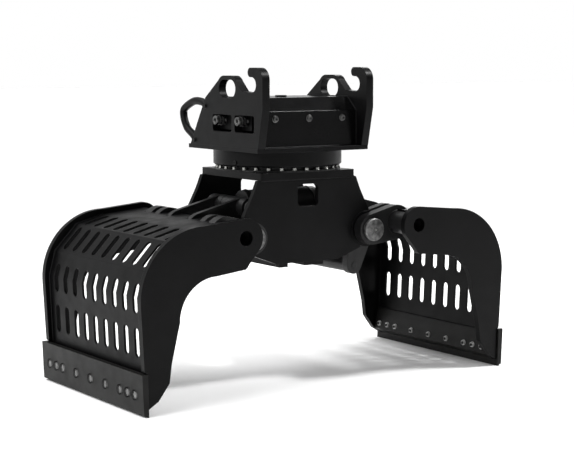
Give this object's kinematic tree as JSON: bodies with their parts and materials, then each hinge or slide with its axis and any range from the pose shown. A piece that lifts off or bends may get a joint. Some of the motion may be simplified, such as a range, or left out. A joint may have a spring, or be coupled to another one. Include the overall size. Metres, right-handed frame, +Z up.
{
  "type": "sorting grapple",
  "caption": "Rotating sorting grapple: slotted clamshell shells on a slewing frame, closed by an enclosed cross cylinder, under an adapter with quick-coupler hooks.",
  "frame": {"origin": "on the floor under the slewing axis, with the grapple fully open and standing on its cutting edges", "axes": "+Z up along the slewing axis, X the way the shells open (left shell at -X), Y along the shell pins and the cutting edges (front, with the coupler hooks, at -Y)"},
  "size_m": [2.084, 1, 1.512],
  "materials": {
    "black_paint": "satin",
    "wear_steel": "satin",
    "pin_steel": "satin",
    "zinc_steel": "satin",
    "machined_steel": "satin",
    "rod_chrome": "polished",
    "bush_bronze": "satin"
  },
  "bodies": {
    "adapter": {"adapter_base_plate": "black_paint", "adapter_side_plate_left": "black_paint", "adapter_side_plate_right": "black_paint", "adapter_cross_box": "black_paint", "cross_box_bolts": "zinc_steel", "cross_box_cap": "black_paint", "hydraulic_port_block": "black_paint", "hydraulic_port_fittings": "zinc_steel", "hose_guard_bow": "black_paint", "hose_guard_bolts": "zinc_steel", "rotator_housing": "black_paint", "slewing_bearing_outer_ring": "machined_steel", "rotator_port_plug": "zinc_steel", "slewing_motor": "black_paint", "rotary_union_stem": "machined_steel"},
    "slewing_pinion": {"slewing_pinion": "machined_steel"},
    "lower_frame": {"slewing_ring": "machined_steel", "slewing_ring_bolts": "zinc_steel", "rotary_union_housing": "machined_steel", "frame_top_plate": "black_paint", "frame_side_plate_front": "black_paint", "frame_side_plate_rear": "black_paint", "frame_hinge_bushes": "bush_bronze", "frame_belly_plate": "black_paint", "frame_cross_bars": "black_paint"},
    "left_shell": {"left_shell_side_plate_front": "black_paint", "left_shell_side_plate_rear": "black_paint", "left_shell_back_sheet": "black_paint", "left_shell_cutting_edge": "wear_steel", "left_shell_blade_holder": "wear_steel", "left_shell_blade_bolts": "machined_steel", "left_shell_blade_nuts": "machined_steel", "left_shell_torsion_tube": "black_paint", "left_shell_hinge_lugs": "black_paint", "left_shell_hinge_pins": "pin_steel", "left_shell_cylinder_levers": "black_paint", "left_shell_link_cheek": "black_paint", "left_shell_link_pin": "pin_steel", "left_shell_cylinder_pin": "pin_steel"},
    "right_shell": {"right_shell_side_plate_front": "black_paint", "right_shell_side_plate_rear": "black_paint", "right_shell_back_sheet": "black_paint", "right_shell_cutting_edge": "wear_steel", "right_shell_blade_holder": "wear_steel", "right_shell_blade_bolts": "machined_steel", "right_shell_blade_nuts": "machined_steel", "right_shell_torsion_tube": "black_paint", "right_shell_hinge_lugs": "black_paint", "right_shell_hinge_pins": "pin_steel", "right_shell_cylinder_levers": "black_paint", "right_shell_link_cheek": "black_paint", "right_shell_link_pin": "pin_steel", "right_shell_cylinder_pin": "pin_steel", "right_shell_lower_cross_tube": "black_paint"},
    "cylinder_barrel": {"cylinder_end_eye": "black_paint", "cylinder_barrel": "black_paint", "cylinder_gland": "black_paint"},
    "cylinder_rod": {"cylinder_rod": "rod_chrome", "cylinder_piston": "machined_steel"},
    "sync_link": {"sync_link": "black_paint"}
  },
  "joints": [
    {"name": "slew", "type": "hinge", "parent": "adapter", "child": "lower_frame", "pos_m": [0, 0, 1.06], "axis": [0, 0, 1], "continuous": true},
    {"name": "pinion_spin", "type": "hinge", "parent": "adapter", "child": "slewing_pinion", "pos_m": [0, -0.192, 1.06], "axis": [0, 0, 1], "continuous": true},
    {"name": "left_shell_hinge", "type": "hinge", "parent": "lower_frame", "child": "left_shell", "pos_m": [-0.347, 0, 0.723], "axis": [0, -1, 0], "range_deg": [0, 63]},
    {"name": "right_shell_hinge", "type": "hinge", "parent": "lower_frame", "child": "right_shell", "pos_m": [0.347, 0, 0.723], "axis": [0, 1, 0], "range_deg": [0, 63]},
    {"name": "barrel_eye_hinge", "type": "hinge", "parent": "left_shell", "child": "cylinder_barrel", "pos_m": [-0.2652, 0, 0.84993], "axis": [0, -1, 0], "range_deg": [-63, 0]},
    {"name": "rod_eye_hinge", "type": "hinge", "parent": "right_shell", "child": "cylinder_rod", "pos_m": [0.2652, 0, 0.84993], "axis": [0, 1, 0], "range_deg": [-63, 0]},
    {"name": "sync_link_hinge", "type": "hinge", "parent": "right_shell", "child": "sync_link", "pos_m": [0.29584, 0, 0.69165], "axis": [0, 1, 0], "range_deg": [-73.4, 0]}
  ],
  "couplings": [
    {"joint": "pinion_spin", "follows": "slew", "ratio": 5},
    {"joint": "right_shell_hinge", "follows": "left_shell_hinge", "ratio": 1},
    {"joint": "barrel_eye_hinge", "follows": "left_shell_hinge", "ratio": -1},
    {"joint": "rod_eye_hinge", "follows": "left_shell_hinge", "ratio": -1},
    {"joint": "sync_link_hinge", "follows": "left_shell_hinge", "ratio": -1.1639}
  ]
}
